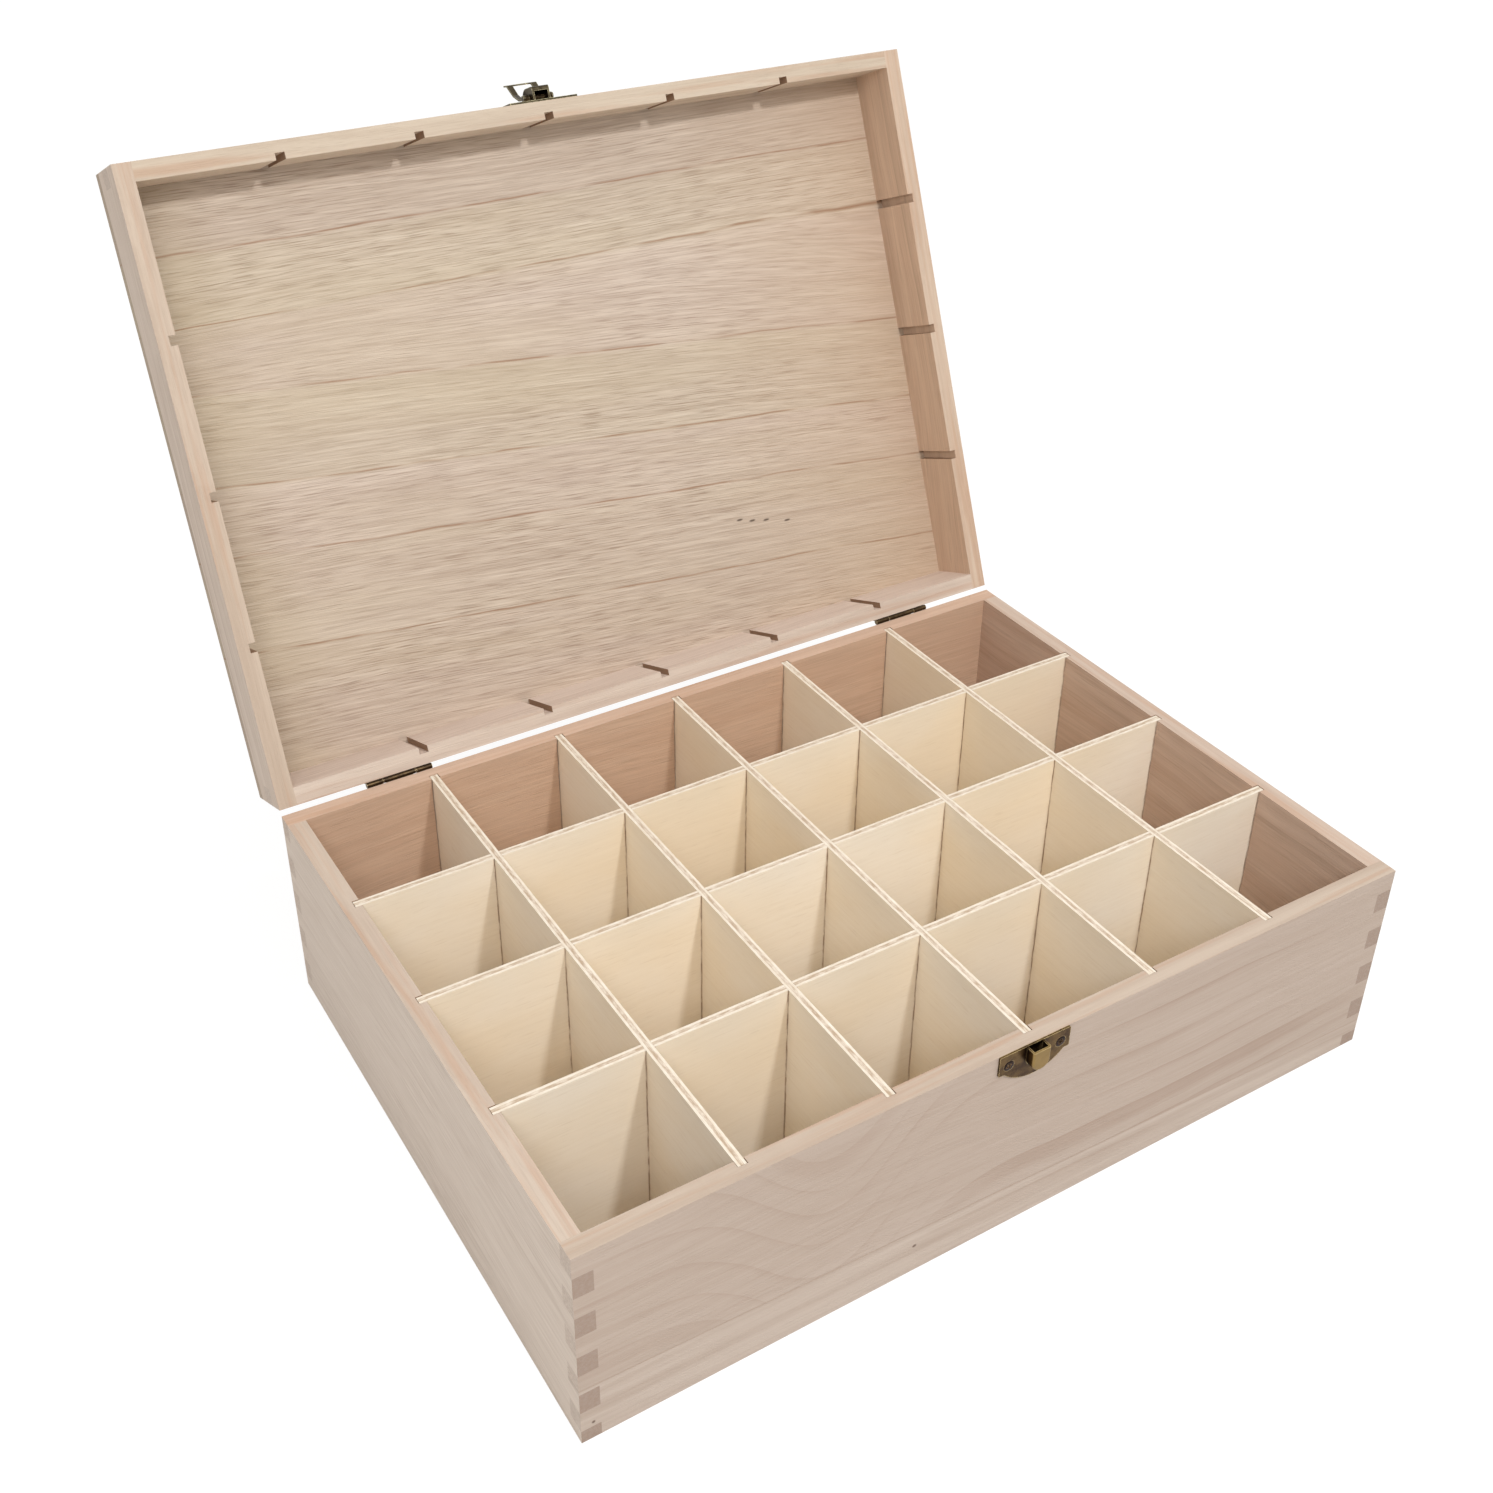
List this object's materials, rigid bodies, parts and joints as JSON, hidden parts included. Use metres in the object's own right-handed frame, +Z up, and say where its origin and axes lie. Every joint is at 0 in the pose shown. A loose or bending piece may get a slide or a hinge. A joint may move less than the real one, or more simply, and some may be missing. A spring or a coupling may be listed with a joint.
{
  "type": "stamp box",
  "caption": "Open wooden stamp box with finger-jointed walls, a hinged lid with a swing hasp, and a lift-out grid of slotted plywood dividers.",
  "frame": {"origin": "middle of the box's flat underside", "axes": "+X to the right along the front, +Y from the front to the hinged back, +Z up"},
  "size_m": [0.386, 0.4171, 0.3586],
  "materials": {
    "wall_wood": "raw sanded softwood",
    "board_wood": "raw sanded board",
    "plywood": "raw basswood plywood",
    "bronze": "antique bronze",
    "screws": "antique bronze"
  },
  "bodies": {
    "base": {"base_front": "wall_wood", "base_back": "wall_wood", "base_left": "wall_wood", "base_right": "wall_wood", "base_floor": "board_wood", "catch_plate": "bronze", "catch_screws": "screws", "hinge_screws_base": "screws", "hinge_left_base_leaf": "bronze", "hinge_left_pin": "bronze", "hinge_right_base_leaf": "bronze", "hinge_right_pin": "bronze"},
    "divider_grid": {"divider_short_1": "plywood", "divider_short_2": "plywood", "divider_short_3": "plywood", "divider_short_4": "plywood", "divider_short_5": "plywood", "divider_long_1": "plywood", "divider_long_2": "plywood", "divider_long_3": "plywood"},
    "lid": {"lid_front": "wall_wood", "lid_back": "wall_wood", "lid_left": "wall_wood", "lid_right": "wall_wood", "lid_top": "board_wood", "latch_plate": "bronze", "latch_pin": "bronze", "latch_screws": "screws", "hinge_screws_lid": "screws", "hinge_left_lid_leaf": "bronze", "hinge_right_lid_leaf": "bronze"},
    "hasp": {"hasp": "bronze"}
  },
  "joints": [
    {"name": "lid_hinge", "type": "hinge", "parent": "base", "child": "lid", "pos_m": [0, 0.1389, 0.0966], "axis": [1, 0, 0], "range_deg": [0, 112]},
    {"name": "hasp_swing", "type": "hinge", "parent": "lid", "child": "hasp", "pos_m": [-0.0009, 0.24911, 0.35309], "axis": [1, 0, 0], "range_deg": [0, 155]},
    {"name": "grid_lift", "type": "slide", "parent": "base", "child": "divider_grid", "axis": [0, 0, 1], "range_m": [0, 0.028]}
  ]
}
